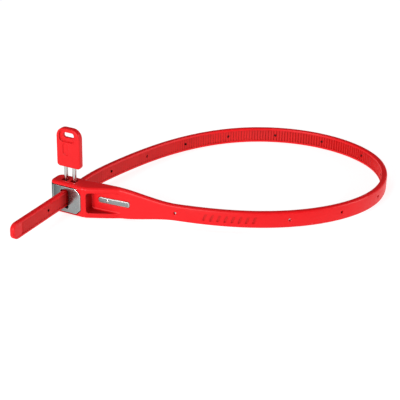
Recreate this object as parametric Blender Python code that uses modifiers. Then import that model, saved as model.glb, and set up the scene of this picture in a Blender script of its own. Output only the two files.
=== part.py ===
"""Reusable steel-cored locking strap, closed in a loop, with its two-pin release key standing in the lock.

The strap leaves the lock head along +X, turns through a loop on the +Y side and comes back through the
head's slot along -Y. Its inner face carries ratchet teeth. Two steel pawls in the head hold the teeth, and
the key's pin pushes a wedge down through the pawls' windows, which draws both of them out of the teeth.

All sizes are in millimetres, and add_object() turns them into metres. The origin is under the slot, on the
head's flat bottom face.
"""
import math

import bmesh
import bpy
import numpy as np
from mathutils import Matrix, Vector

MM = 0.001
GAP = 0.3               # between the stretches of one moulding
FIT = 0.15              # between a piece and the seat that holds it

# Strap
STRAP_WIDTH = 7.4
STRAP_THICKNESS = 2.5
STRAP_Z = 7.2           # height of the strap's centre line over the head's bottom face
STRAP_CHAMFER = 0.35
RAIL_WIDTH = 1.1        # smooth rail on each side of the toothed channel
TOOTH_PITCH = 1.4
TOOTH_ROOT = 0.6        # depth of a tooth's root under the rails
TOOTH_CREST = 0.1       # depth of its crest
TOOTH_RAMP = 0.85       # share of the pitch that the ramp takes
PLAIN_CHANNEL = 0.35
CORE_WIDTH = 3.0
CORE_THICKNESS = 0.5
CORE_ROOM = 0.15        # around the core in its tunnel
HOLE_RADIUS = 0.7
HOLE_FIRST = 49.3       # distance along the strap of the first hole in the jacket
HOLE_SPACING = 24.55
HOLE_COUNT = 15
MARKED_HOLE = 1         # left out, under the row of grip marks on the strap's front
STATION = 4.0           # longest step between two sections of the swept strap

# The loop's centre line, from the head and back to where the straight tail begins
TAIL_START = 10.6
ROUTE = [
    (0, 0), (35.9, 2.9), (71.6, 11.5), (102.6, 31.8), (118.6, 65.9), (106.3, 99.8),
    (71.8, 113.2), (36.8, 101.1), (14.5, 71.8), (3.4, 36.7), (0, TAIL_START),
]
NECK_END = 50.0         # the head's moulding ends here, and the plain strap begins
BEND_START = 80.0
BEND_END = 216.0
TAIL_TIP = -45.5
TOOTHLESS_TIP = 6.0

# Head
HEAD_LEFT, HEAD_RIGHT = -7.75, 10.5
HEAD_FRONT, HEAD_BACK = -7.0, 2.0
HEAD_HEIGHT = 14.4
HEAD_END_RADIUS = 3.0
HEAD_EDGE = 0.9
RIM_BOTTOM, RIM_TOP = 0.7, 13.0     # the moulding's rims lie under and over the steel
STEEL_RIGHT = 8.3
SHEET = 0.8
PLATE_CHAMFER = 2.4
FACE_SLOT = (-1.8, 2.15, 2.6, 11.4)  # low x, high x, low z, high z
BACK_SLOT = (-1.8, 1.8, 3.1, 11.3)
WALL_THICKNESS = 2.5                # the neck's upper and lower gussets
GUSSET_END = 24.0
NECK_FULL = 21.0                    # up to here the neck is as tall as the head
ANCHOR_START, ANCHOR_END = 13.7, 28.6
ANCHOR_Z = 7.5
ANCHOR_HEIGHT = 2.6

# Lock
CASE_LOW = (-6.75, -6.0, 1.4)
CASE_HIGH = (8.0, 0.2, 12.8)
CASE_FRONT_WALL = 0.8
CASE_CORNER = 2.0
CHAMBER_RIGHT = 6.75
CHAMBER_Z = (3.2, 11.2)
COVER_LEFT = -5.6
COVER_Y = (0.4, 1.0)
RIVET_X = -4.2
RIVET_Z = {"lower": 4.2, "upper": 10.2}
RIVET_RADIUS = 0.5
RIVET_END = -3.3                    # the rivets' blind ends
PLUNGER_TRAVEL = 1.8
PAWL_RATIO = 0.33                   # a pawl's travel for each unit of the plunger's
PAWL_SPANS = {"lower": (5.1, 7.0), "upper": (7.4, 9.3)}
PAWL_FRONT, PAWL_BACK = -4.9, -0.1
PAWL_REAR = 5.3
PAWL_MESH = 0.15                    # play between the pawls' teeth and the strap's
WINDOW_FRONT = 1.75
WEDGE_FRONT = 2.45
WEDGE_BOTTOM = 5.0
WEDGE_FOOT = 0.5                    # the wedge's thickness at its foot
FLANGE_LOW, FLANGE_HIGH = 11.6, 12.1
WEDGE_WIDTH = 2.2
FLANGE_LEFT = 1.8
WELL_X = (1.6, 5.45)                # the plunger's well in the case
WELL_Z = (2.2, 12.3)
PAWL_SPRING_Y = -2.5
PAWL_SPRING = (0.55, 0.12, 3)       # coil radius, wire radius, turns
PLUNGER_SPRING = (0.75, 0.15, 4)

# Key
PIN_X = (-1.75, 2.6)
PIN_Y = -2.2
PIN_RADIUS = 0.95
PIN_BOTTOM, PIN_TOP = 12.85, 25.7
BOW_LEFT, BOW_RIGHT = -5.5, 6.35
BOW_BOTTOM, BOW_TOP = 20.6, 38.75
BOW_THICKNESS = 2.8
BOW_CORNERS = (1.5, 1.5, 4.2, 4.2)  # bottom left, bottom right, top right, top left
RING_SLOT = (5.2, 2.4)
RING_SLOT_Z = 35.5

COLOURS = {
    "red_nylon": ((0.72, 0.010, 0.016), 0.38, 0.0),
    "key_plastic": ((0.74, 0.012, 0.018), 0.34, 0.0),
    "polished_steel": ((0.58, 0.61, 0.62), 0.16, 1.0),
    "hard_steel": ((0.40, 0.41, 0.43), 0.34, 1.0),
    "spring_steel": ((0.50, 0.50, 0.52), 0.30, 1.0),
}


# ---------------------------------------------------------------- scene and helpers

def clear_scene():
    for obj in list(bpy.data.objects):
        bpy.data.objects.remove(obj, do_unlink=True)


def make_collection(name):
    collection = bpy.data.collections.new(name)
    bpy.context.scene.collection.children.link(collection)
    return collection


def make_material(name):
    colour, roughness, metallic = COLOURS[name]
    material = bpy.data.materials.new(name)
    material.use_nodes = True
    shader = material.node_tree.nodes["Principled BSDF"]
    shader.inputs["Base Color"].default_value = (*colour, 1)
    shader.inputs["Roughness"].default_value = roughness
    shader.inputs["Metallic"].default_value = metallic
    return material


clear_scene()
PARTS = make_collection("locking_strap")
CUTTERS = make_collection("cutters")
MATERIALS = {name: make_material(name) for name in COLOURS}


def add_object(name, bm, material=None):
    """Turn a bmesh in millimetres into an object in metres. Without a material it is a cutter."""
    bmesh.ops.recalc_face_normals(bm, faces=bm.faces)
    bmesh.ops.scale(bm, vec=(MM, MM, MM), verts=bm.verts)
    mesh = bpy.data.meshes.new(name)
    bm.to_mesh(mesh)
    bm.free()
    obj = bpy.data.objects.new(name, mesh)
    if material:
        mesh.materials.append(MATERIALS[material])
        mesh.shade_smooth()
        mesh.set_sharp_from_angle(angle=math.radians(35))
        PARTS.objects.link(obj)
    else:
        obj.hide_render = True
        obj.display_type = "WIRE"
        CUTTERS.objects.link(obj)
    return obj


def combine(target, tool, operation):
    modifier = target.modifiers.new(tool.name, "BOOLEAN")
    modifier.object = tool
    modifier.operation = operation
    modifier.solver = "EXACT"


def cut(target, *tools):
    for tool in tools:
        combine(target, tool, "DIFFERENCE")


def bevel(obj, width, segments=2):
    modifier = obj.modifiers.new("rounded_edges", "BEVEL")
    modifier.width = width * MM
    modifier.segments = segments
    modifier.limit_method = "ANGLE"
    modifier.angle_limit = math.radians(50)


def block(name, low, high, material=None):
    low, high = Vector(low), Vector(high)
    size = high - low
    bm = bmesh.new()
    place = Matrix.Translation((low + high) / 2) @ Matrix.Diagonal((*size, 1))
    bmesh.ops.create_cube(bm, size=1, matrix=place)
    return add_object(name, bm, material)


def rod(name, start, end, radius, material=None, sides=24):
    """A round bar between two points on a line along X, Y or Z."""
    start, end = Vector(start), Vector(end)
    length = (end - start).length
    turn = (end - start).to_track_quat("Z", "Y").to_matrix().to_4x4()
    place = Matrix.Translation((start + end) / 2) @ turn
    bm = bmesh.new()
    bmesh.ops.create_cone(
        bm, cap_ends=True, segments=sides, radius1=radius, radius2=radius, depth=length, matrix=place
    )
    return add_object(name, bm, material)


def prism(name, outline, low, high, axis="Z", material=None):
    """An outline pushed along an axis: its pairs are x and y along Z, or x and z along Y."""
    bm = bmesh.new()
    at = {"Z": lambda a, b, h: (a, b, h), "Y": lambda a, b, h: (a, h, b)}[axis]
    face = bm.faces.new([bm.verts.new(at(a, b, low)) for a, b in outline])
    raised = bmesh.ops.extrude_face_region(bm, geom=[face])["geom"]
    push = Vector(at(0, 0, high - low))
    bmesh.ops.translate(bm, vec=push, verts=[v for v in raised if isinstance(v, bmesh.types.BMVert)])
    return add_object(name, bm, material)


def arc(centre, radius, start, end, steps=6):
    """Points on a circle from one angle to another, in degrees."""
    angles = np.radians(np.linspace(start, end, steps + 1))
    return [(centre[0] + radius * math.cos(a), centre[1] + radius * math.sin(a)) for a in angles]


def rounded_outline(low, high, radii, steps=6):
    """A rectangle with its own radius at each corner, from the bottom left one anticlockwise."""
    centres = [
        (low[0] + radii[0], low[1] + radii[0]),
        (high[0] - radii[1], low[1] + radii[1]),
        (high[0] - radii[2], high[1] - radii[2]),
        (low[0] + radii[3], high[1] - radii[3]),
    ]
    outline = []
    for quarter, (centre, radius) in enumerate(zip(centres, radii)):
        outline += arc(centre, radius, 180 + 90 * quarter, 270 + 90 * quarter, steps)
    return outline


def loft(name, rings, material=None):
    """A closed solid through rings that all have the same number of points."""
    bm = bmesh.new()
    loops = [[bm.verts.new(point) for point in ring] for ring in rings]
    for near, far in zip(loops, loops[1:]):
        for i in range(len(near)):
            j = (i + 1) % len(near)
            bm.faces.new((near[i], near[j], far[j], far[i]))
    bm.faces.new(loops[0])
    bm.faces.new(loops[-1])
    return add_object(name, bm, material)


def coil(name, start, end, radius, wire, turns, material):
    """A compression spring between two points on a line along X or Z."""
    start, end = Vector(start), Vector(end)
    turn = (end - start).to_track_quat("Z", "Y").to_matrix()
    length = (end - start).length
    steps = 10 * turns
    curve = bpy.data.curves.new(name, "CURVE")
    curve.dimensions = "3D"
    curve.bevel_depth = wire * MM
    curve.bevel_resolution = 2
    curve.use_fill_caps = True
    spline = curve.splines.new("POLY")
    spline.points.add(steps)
    for i, point in enumerate(spline.points):
        angle = 2 * math.pi * turns * i / steps
        rise = wire + (length - 2 * wire) * i / steps
        local = Vector((radius * math.cos(angle), radius * math.sin(angle), rise))
        point.co = (*((start + turn @ local) * MM), 1)
    curve.materials.append(MATERIALS[material])
    obj = bpy.data.objects.new(name, curve)
    PARTS.objects.link(obj)
    return obj


# ---------------------------------------------------------------- the strap's centre line

def spline_slopes(knots, values, first, last):
    """Slopes at the knots of the smooth cubic curve with a given slope at each end."""
    count = len(knots)
    step = np.diff(knots)
    system = np.eye(count)
    right = np.zeros(count)
    right[0], right[-1] = first, last
    for i in range(1, count - 1):
        system[i, i - 1:i + 2] = [step[i], 2 * (step[i - 1] + step[i]), step[i - 1]]
        rise = np.diff(values[i - 1:i + 2]) / step[i - 1:i + 1]
        right[i] = 3 * (step[i] * rise[0] + step[i - 1] * rise[1])
    return np.linalg.solve(system, right)


def loop_line(fine=0.5):
    """Finely spaced points and their distances along the loop, which leaves along +X and ends along -Y."""
    points = np.array(ROUTE, float)
    knots = np.r_[0, np.cumsum(np.hypot(*np.diff(points, axis=0).T))]
    ends = ((1, 0), (0, -1))
    slopes = np.array([spline_slopes(knots, points[:, k], ends[0][k], ends[1][k]) for k in (0, 1)]).T
    at = np.linspace(0, knots[-1], int(knots[-1] / fine))
    span = np.clip(np.searchsorted(knots, at, side="right") - 1, 0, len(knots) - 2)
    width = np.diff(knots)[span][:, None]
    u = ((at - knots[span])[:, None]) / width
    line = (
        (1 + 2 * u) * (1 - u) ** 2 * points[span] + u * (1 - u) ** 2 * width * slopes[span]
        + u ** 2 * (3 - 2 * u) * points[span + 1] + u ** 2 * (u - 1) * width * slopes[span + 1]
    )
    along = np.r_[0, np.cumsum(np.hypot(*np.diff(line, axis=0).T))]
    return line, along


LINE, ALONG = loop_line()
LOOP_LENGTH = ALONG[-1]
STRAP_END = LOOP_LENGTH + TAIL_START - TAIL_TIP


def centre(s):
    """Place and direction of the centre line at a distance along it. The tail runs on straight."""
    if s >= LOOP_LENGTH:
        return Vector((0, TAIL_START - (s - LOOP_LENGTH))), Vector((0, -1))
    x, y = (np.interp(s, ALONG, LINE[:, k]) for k in (0, 1))
    ahead = [np.interp(min(s + 0.5, LOOP_LENGTH), ALONG, LINE[:, k]) for k in (0, 1)]
    behind = [np.interp(max(s - 0.5, 0), ALONG, LINE[:, k]) for k in (0, 1)]
    return Vector((x, y)), Vector(np.subtract(ahead, behind)).normalized()


def ring_at(s, section):
    """A section's points, each an offset outwards from the loop and a height, set at a distance along it."""
    place, along = centre(s)
    outwards = Vector((along.y, -along.x))
    points = []
    for offset, height in section:
        flat = place + outwards * offset
        points.append((flat.x, flat.y, STRAP_Z + height))
    return points


def stations(start, end, longest=STATION):
    return np.linspace(start, end, max(2, math.ceil((end - start) / longest) + 1))


# ---------------------------------------------------------------- strap

def strap_section(channel, half_width=STRAP_WIDTH / 2):
    half = STRAP_THICKNESS / 2
    c = STRAP_CHAMFER
    rail = half_width - RAIL_WIDTH
    upper = [
        (half, half_width - c), (half - c, half_width), (c - half, half_width),
        (-half, half_width - c), (-half, rail), (channel - half, rail),
    ]
    return upper + [(offset, -height) for offset, height in reversed(upper)]


def box_section(half_thickness, half_width):
    return [
        (half_thickness, -half_width), (half_thickness, half_width),
        (-half_thickness, half_width), (-half_thickness, -half_width),
    ]


def bore_core_tunnel(strap, start, end):
    """Cut the tunnel that the steel core lies in."""
    section = box_section(CORE_THICKNESS / 2 + CORE_ROOM, CORE_WIDTH / 2 + CORE_ROOM)
    rings = [ring_at(s, section) for s in stations(start, end)]
    cut(strap, loft(strap.name + "_tunnel", rings))


def drill_holes(strap, start, end):
    """Small round holes right through the jacket, at even spacing, that show the core."""
    for i in range(HOLE_COUNT):
        s = HOLE_FIRST + HOLE_SPACING * i
        if i != MARKED_HOLE and start + 2 * HOLE_RADIUS < s < end - 2 * HOLE_RADIUS:
            inner, outer = ring_at(s, [(-STRAP_THICKNESS, 0), (STRAP_THICKNESS, 0)])
            cut(strap, rod(f"{strap.name}_hole_{i}", inner, outer, HOLE_RADIUS, sides=10))


def plain_strap(name, start, end):
    section = strap_section(PLAIN_CHANNEL)
    strap = loft(name, [ring_at(s, section) for s in stations(start, end)], "red_nylon")
    bore_core_tunnel(strap, start - 1, end + 1)
    drill_holes(strap, start, end)
    return strap


def toothed_tail():
    """The straight end of the strap, with teeth up to its rounded, smooth tip."""
    start = LOOP_LENGTH + GAP / 2
    last_tooth = STRAP_END - TOOTHLESS_TIP
    first_root = LOOP_LENGTH + (TAIL_START % TOOTH_PITCH) + TOOTH_PITCH
    rings = [ring_at(start, strap_section(TOOTH_ROOT))]
    s = first_root
    while s + TOOTH_PITCH < last_tooth:
        rings.append(ring_at(s, strap_section(TOOTH_ROOT)))
        rings.append(ring_at(s + (1 - TOOTH_RAMP) * TOOTH_PITCH, strap_section(TOOTH_CREST)))
        s += TOOTH_PITCH
    rings.append(ring_at(s, strap_section(TOOTH_ROOT)))
    for before_tip, drawn_in in ((3.0, 0), (1.8, 0.15), (0.8, 0.65), (0.2, 1.4), (0, 1.8)):
        section = strap_section(TOOTH_CREST, STRAP_WIDTH / 2 - drawn_in)
        rings.append(ring_at(STRAP_END - before_tip, section))
    tail = loft("strap_tail", rings, "red_nylon")
    bore_core_tunnel(tail, start - 1, STRAP_END - 3.2)
    drill_holes(tail, start, STRAP_END)
    return tail


def steel_core(name, start, end):
    section = box_section(CORE_THICKNESS / 2, CORE_WIDTH / 2)
    return loft(name, [ring_at(s, section) for s in stations(start, end)], "spring_steel")


# ---------------------------------------------------------------- head

def ease(u):
    u = min(max(u, 0.0), 1.0)
    return u * u * (3 - 2 * u)


def neck_section(s):
    """The neck's outline: as tall as the head at first, then drawn in to the strap's own section."""
    taper = ease((s - NECK_FULL) / (NECK_END - NECK_FULL))
    half_width = HEAD_HEIGHT / 2 + (STRAP_WIDTH / 2 - HEAD_HEIGHT / 2) * taper
    flat = STRAP_THICKNESS / 2
    rise = min(max((GUSSET_END - s) / (GUSSET_END - HEAD_RIGHT), 0.0), 1.0)
    front = flat + (-HEAD_FRONT - flat) * rise
    back = HEAD_BACK + (flat - HEAD_BACK) * ease((s - HEAD_RIGHT) / (NECK_END - HEAD_RIGHT))
    edge = min(HEAD_EDGE, STRAP_CHAMFER + HEAD_EDGE * (1 - taper))
    upper = [
        (front, half_width - edge), (front - edge, half_width),
        (edge - back, half_width), (-back, half_width - edge),
    ]
    return upper + [(offset, -height) for offset, height in reversed(upper)]


def head_jacket():
    """The red moulding around the lock, with the neck that carries the strap."""
    hidden = 1.5 * HEAD_EDGE        # the right corners end inside the neck
    corners = (HEAD_END_RADIUS, hidden, hidden, HEAD_END_RADIUS)
    outline = rounded_outline((HEAD_LEFT, HEAD_FRONT), (HEAD_RIGHT, HEAD_BACK), corners)
    head = prism("head_jacket", outline, 0, HEAD_HEIGHT, material="red_nylon")
    bevel(head, HEAD_EDGE)
    rings = [ring_at(s, neck_section(s)) for s in stations(HEAD_RIGHT - 2, NECK_END - GAP / 2, 3.0)]
    combine(head, loft("neck", rings), "UNION")

    pocket = box_section(4.0, HEAD_HEIGHT / 2 - WALL_THICKNESS)
    pocket = [(offset + 4.0 + STRAP_THICKNESS / 2, height) for offset, height in pocket]
    cut(head, loft("neck_pocket", [ring_at(s, pocket) for s in (HEAD_RIGHT, 17, 22, GUSSET_END + 3)]))
    cut(head, case_recess(), plate_recess())
    cut(head, slot_cutter("entry_slot", BACK_SLOT, HEAD_BACK - 2, HEAD_BACK + 1))
    half_hole = PIN_RADIUS + 0.25
    for side, x in zip(("left", "right"), PIN_X):
        low = (x - half_hole, PIN_Y - half_hole, RIM_TOP - 1)
        high = (x + half_hole, PIN_Y + half_hole, HEAD_HEIGHT + 1)
        cut(head, block(f"keyhole_{side}", low, high))
    bore_core_tunnel(head, HEAD_RIGHT - 3, NECK_END + 1)
    cut(head, anchor_shape("anchor_seat", room=FIT))
    return head


def case_recess():
    back = CASE_HIGH[1] + 0.95
    corner = CASE_LOW[0] + 0.5
    outline = [
        (HEAD_LEFT - 2, HEAD_FRONT + SHEET + 0.05), (STEEL_RIGHT + FIT, HEAD_FRONT + SHEET + 0.05),
        (STEEL_RIGHT + FIT, back), (corner, back), (corner, back - 0.5), (HEAD_LEFT - 2, back - 0.5),
    ]
    return prism("case_recess", outline, RIM_BOTTOM, RIM_TOP)


def plate_outline(room):
    """The polished face's outline, with its two right corners cut off."""
    left, right = HEAD_LEFT - 2, STEEL_RIGHT + room
    low, high = RIM_BOTTOM + FIT - room, RIM_TOP - FIT + room
    return [
        (left, low), (right - PLATE_CHAMFER, low), (right, low + PLATE_CHAMFER),
        (right, high - PLATE_CHAMFER), (right - PLATE_CHAMFER, high), (left, high),
    ]


def plate_recess():
    return prism("plate_recess", plate_outline(FIT), HEAD_FRONT - 1, HEAD_FRONT + SHEET + 0.1, "Y")


def slot_cutter(name, slot, front, back):
    return block(name, (slot[0], front, slot[2]), (slot[1], back, slot[3]))


def steel_face():
    """A polished sheet over the lock's front that wraps round the head's rounded end."""
    front = (HEAD_LEFT + HEAD_END_RADIUS, HEAD_FRONT + HEAD_END_RADIUS)
    back = (front[0], HEAD_BACK - HEAD_END_RADIUS)
    outer, inner = HEAD_END_RADIUS, HEAD_END_RADIUS - SHEET
    outline = [(STEEL_RIGHT, HEAD_FRONT)] + arc(front, outer, 270, 180) + arc(back, outer, 180, 150, 2)
    outline += arc(back, inner, 150, 180, 2) + arc(front, inner, 180, 270)
    outline += [(STEEL_RIGHT, HEAD_FRONT + SHEET)]
    face = prism("steel_face", outline, RIM_BOTTOM + FIT, RIM_TOP - FIT, material="polished_steel")
    for name, z in (("low_corner", RIM_BOTTOM + FIT), ("high_corner", RIM_TOP - FIT)):
        leg = PLATE_CHAMFER
        wedge = [(STEEL_RIGHT - leg, z), (STEEL_RIGHT, z + leg if z < STRAP_Z else z - leg)]
        wedge += [(STEEL_RIGHT + 2, wedge[1][1]), (STEEL_RIGHT + 2, 2 * z - wedge[1][1])]
        wedge += [(STEEL_RIGHT - leg, 2 * z - wedge[1][1])]
        cut(face, prism(name, wedge, HEAD_FRONT - 1, HEAD_FRONT + SHEET + 0.5, "Y"))
    cut(face, slot_cutter("face_slot", FACE_SLOT, HEAD_FRONT - 1, HEAD_FRONT + SHEET + 0.5))
    return face


def anchor_shape(name, room=0.0, material=None):
    """The long steel plate in the neck's pocket, rounded at its left end, that ties core to lock."""
    half_length = (ANCHOR_END - ANCHOR_START) / 2 + room
    half_height = ANCHOR_HEIGHT / 2 + room
    radii = (half_height * 0.98, 0.5, 0.5, half_height * 0.98)
    outline = rounded_outline((-half_length, -half_height), (half_length, half_height), radii, 4)
    outer = STRAP_THICKNESS / 2 + (1.0 if room else -0.1)
    inner = CORE_THICKNESS / 2 + (0.1 if room else 0.25)
    shape = prism(name, outline, -outer, -inner, "Y", material)
    place, along = centre((ANCHOR_START + ANCHOR_END) / 2)
    shape.location = (place.x * MM, place.y * MM, ANCHOR_Z * MM)
    shape.rotation_euler.z = math.atan2(along.y, along.x)
    return shape


# ---------------------------------------------------------------- lock

def wedge_face(z):
    """Where the wedge's sloping face stands at a height."""
    return WEDGE_FRONT + WEDGE_FOOT + PAWL_RATIO * (z - WEDGE_BOTTOM)


def lock_case():
    radii = (CASE_CORNER, 0.01, 0.01, CASE_CORNER)
    outline = rounded_outline(CASE_LOW[:2], CASE_HIGH[:2], radii, 4)
    case = prism("lock_case", outline, CASE_LOW[2], CASE_HIGH[2], material="hard_steel")
    inside = CASE_LOW[1] + CASE_FRONT_WALL
    strap_left = -STRAP_THICKNESS / 2 - 0.25
    half_well = WEDGE_WIDTH / 2 + 0.2
    half_pin_well = PIN_RADIUS + FIT
    cut(
        case,
        block("chamber", (strap_left, inside, CHAMBER_Z[0]), (CHAMBER_RIGHT, COVER_Y[1], CHAMBER_Z[1])),
        block(
            "plunger_well",
            (WELL_X[0], PIN_Y - half_well, WELL_Z[0]),
            (WELL_X[1], PIN_Y + half_well, WELL_Z[1]),
        ),
        slot_cutter("case_front_slot", FACE_SLOT, CASE_LOW[1] - 1, inside + 0.1),
        block("left_pin_well", (PIN_X[0] - half_pin_well, PIN_Y - half_pin_well, PIN_BOTTOM - PLUNGER_TRAVEL - FIT),
              (PIN_X[0] + half_pin_well, PIN_Y + half_pin_well, WELL_Z[1])),
    )
    for side, x in zip(("left", "right"), PIN_X):
        top = (x, PIN_Y, CASE_HIGH[2] + 1)
        cut(case, rod(f"case_keyhole_{side}", (x, PIN_Y, 12), top, PIN_RADIUS + 0.2, sides=16))
    for side, z in RIVET_Z.items():
        ends = ((RIVET_X, RIVET_END - 0.3, z), (RIVET_X, COVER_Y[1], z))
        cut(case, rod(f"rivet_hole_{side}", *ends, RIVET_RADIUS + FIT, sides=16))
    return case


def case_cover():
    low, high = (COVER_LEFT, COVER_Y[0], CASE_LOW[2]), (CASE_HIGH[0], COVER_Y[1], CASE_HIGH[2])
    cover = block("case_cover", low, high, "hard_steel")
    cut(cover, slot_cutter("cover_slot", BACK_SLOT, COVER_Y[0] - 1, COVER_Y[1] + 1))
    for side, z in RIVET_Z.items():
        ends = ((RIVET_X, COVER_Y[0] - 1, z), (RIVET_X, COVER_Y[1] + 1, z))
        cut(cover, rod(f"cover_hole_{side}", *ends, RIVET_RADIUS + FIT, sides=16))
    return cover


def cover_rivets():
    for side, z in RIVET_Z.items():
        ends = ((RIVET_X, RIVET_END, z), (RIVET_X, COVER_Y[1], z))
        rod(f"cover_rivet_{side}", *ends, RIVET_RADIUS, "hard_steel", sides=16)


def pawl(name, low, high):
    """A sliding plate with teeth on its left edge and a window for the wedge."""
    half = STRAP_THICKNESS / 2
    root, tip = half - TOOTH_CREST + PAWL_MESH, half - TOOTH_ROOT + PAWL_MESH
    outline = [(PAWL_REAR, PAWL_BACK), (root + 0.25, PAWL_BACK)]
    for i in range(math.floor(-PAWL_FRONT / TOOTH_PITCH) + 1):
        if i:
            outline.append((tip, -TOOTH_PITCH * i))
        outline.append((root, -TOOTH_PITCH * (i + 1 - TOOTH_RAMP)))
    outline += [(root + 0.25, PAWL_FRONT), (PAWL_REAR, PAWL_FRONT)]
    plate = prism(name, outline, low, high, material="hard_steel")
    window = [(WINDOW_FRONT, low - 1), (wedge_face(low - 1) + 0.08, low - 1)]
    window += [(wedge_face(high + 1) + 0.08, high + 1), (WINDOW_FRONT, high + 1)]
    half_window = WEDGE_WIDTH / 2 + FIT
    cut(plate, prism(name + "_window", window, PIN_Y - half_window, PIN_Y + half_window, "Y"))
    return plate


def release_plunger():
    """The wedge that the key's right pin pushes down."""
    outline = [
        (WEDGE_FRONT, WEDGE_BOTTOM), (wedge_face(WEDGE_BOTTOM), WEDGE_BOTTOM),
        (wedge_face(FLANGE_LOW), FLANGE_LOW), (wedge_face(FLANGE_LOW), FLANGE_HIGH),
        (FLANGE_LEFT, FLANGE_HIGH), (FLANGE_LEFT, FLANGE_LOW), (WEDGE_FRONT, FLANGE_LOW),
    ]
    half = WEDGE_WIDTH / 2
    wedge = prism("release_plunger", outline, PIN_Y - half, PIN_Y + half, "Y", "hard_steel")
    boss = ((PIN_X[1], PIN_Y, FLANGE_HIGH - 0.2), (PIN_X[1], PIN_Y, PIN_BOTTOM - 0.2))
    combine(wedge, rod("plunger_boss", *boss, PIN_RADIUS - 0.15, sides=16), "UNION")
    return wedge


# ---------------------------------------------------------------- key

def key_bow():
    outline = rounded_outline((BOW_LEFT, BOW_BOTTOM), (BOW_RIGHT, BOW_TOP), BOW_CORNERS)
    half = BOW_THICKNESS / 2
    bow = prism("key_bow", outline, PIN_Y - half, PIN_Y + half, "Y", "key_plastic")
    bevel(bow, 0.6)
    middle = (BOW_LEFT + BOW_RIGHT) / 2
    width, height = RING_SLOT
    low = (middle - width / 2, RING_SLOT_Z - height / 2)
    high = (middle + width / 2, RING_SLOT_Z + height / 2)
    slot = rounded_outline(low, high, (0.8, 0.8, height * 0.49, height * 0.49), 4)
    cut(bow, prism("ring_slot", slot, PIN_Y - 5, PIN_Y + 5, "Y"))
    for side, x in zip(("left", "right"), PIN_X):
        ends = ((x, PIN_Y, BOW_BOTTOM - 1), (x, PIN_Y, PIN_TOP + FIT))
        cut(bow, rod(f"bow_bore_{side}", *ends, PIN_RADIUS + FIT, sides=16))
    return bow


def key_pin(side, x):
    pin = rod(f"key_pin_{side}", (x, PIN_Y, PIN_BOTTOM), (x, PIN_Y, PIN_TOP), PIN_RADIUS, "polished_steel")
    bevel(pin, 0.2, 1)
    return pin


# ---------------------------------------------------------------- assembly

def hang(name, place, pieces):
    """Parent the pieces of a moving body to an empty on its joint's axis."""
    empty = bpy.data.objects.new(name, None)
    empty.location = Vector(place) * MM
    PARTS.objects.link(empty)
    for piece in pieces:
        piece.parent = empty
        piece.location -= empty.location


def build():
    head_jacket()
    steel_face()
    anchor_shape("core_anchor", material="polished_steel")
    lock_case()
    case_cover()
    cover_rivets()
    plain_strap("strap_front", NECK_END + GAP / 2, BEND_START - GAP / 2)
    steel_core("core_front", STEEL_RIGHT + 0.4, BEND_START - GAP / 2)
    plain_strap("strap_bend", BEND_START + GAP / 2, BEND_END - GAP / 2)
    steel_core("core_bend", BEND_START + GAP / 2, BEND_END - GAP / 2)
    for side, (low, high) in PAWL_SPANS.items():
        middle = (low + high) / 2
        ends = ((PAWL_REAR + 0.1, PAWL_SPRING_Y, middle), (CHAMBER_RIGHT - 0.1, PAWL_SPRING_Y, middle))
        spring = coil(f"pawl_spring_{side}", *ends, *PAWL_SPRING, "spring_steel")
        axis = (PAWL_REAR, PAWL_SPRING_Y, middle)
        hang(f"pawl_{side}_axis", axis, [pawl(f"pawl_{side}", low, high), spring])
    spring_x = WEDGE_FRONT + WEDGE_FOOT / 2
    ends = ((spring_x, PIN_Y, WELL_Z[0] + 0.1), (spring_x, PIN_Y, WEDGE_BOTTOM - 0.1))
    spring = coil("plunger_spring", *ends, *PLUNGER_SPRING, "spring_steel")
    hang("plunger_axis", (PIN_X[1], PIN_Y, FLANGE_HIGH), [release_plunger(), spring])
    key = [key_bow()] + [key_pin(side, x) for side, x in zip(("left", "right"), PIN_X)]
    hang("key_axis", (sum(PIN_X) / 2, PIN_Y, PIN_BOTTOM), key)
    hang("strap_axis", (0, 0, STRAP_Z), [
        plain_strap("strap_back", BEND_END + GAP / 2, LOOP_LENGTH - GAP / 2),
        toothed_tail(),
        steel_core("core_tail", BEND_END + GAP / 2, STRAP_END - 3.5),
    ])


build()
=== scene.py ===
"""The finished look of the locking strap: moulded red strap and head, polished steel face, plate and pins.

Sizes here are in millimetres, like the design's, and mesh_object() turns them into metres.
"""
import math

import bmesh
import bpy
import numpy as np
from mathutils import Euler, Matrix, Quaternion, Vector


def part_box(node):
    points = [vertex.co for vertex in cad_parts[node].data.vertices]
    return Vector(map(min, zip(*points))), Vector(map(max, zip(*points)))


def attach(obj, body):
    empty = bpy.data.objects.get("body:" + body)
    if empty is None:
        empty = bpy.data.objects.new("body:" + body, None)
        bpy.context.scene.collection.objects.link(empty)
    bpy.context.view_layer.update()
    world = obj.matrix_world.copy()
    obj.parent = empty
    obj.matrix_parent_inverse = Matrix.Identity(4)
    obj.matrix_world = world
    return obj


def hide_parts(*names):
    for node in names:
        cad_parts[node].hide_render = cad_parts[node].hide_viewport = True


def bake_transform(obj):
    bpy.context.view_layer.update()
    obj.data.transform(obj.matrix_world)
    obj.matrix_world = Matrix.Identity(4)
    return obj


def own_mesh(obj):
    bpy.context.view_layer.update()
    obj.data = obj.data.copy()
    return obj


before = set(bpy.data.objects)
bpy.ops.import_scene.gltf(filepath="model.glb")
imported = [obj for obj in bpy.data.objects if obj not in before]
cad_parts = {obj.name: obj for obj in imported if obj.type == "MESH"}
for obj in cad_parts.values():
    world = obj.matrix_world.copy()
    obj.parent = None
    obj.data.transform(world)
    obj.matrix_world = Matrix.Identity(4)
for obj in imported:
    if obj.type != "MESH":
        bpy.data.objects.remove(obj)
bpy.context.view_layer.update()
MM = 0.001


def box_mm(node):
    """A CAD node's lowest and highest corners in millimetres."""
    low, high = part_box(node)
    return Vector(low) / MM, Vector(high) / MM


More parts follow.
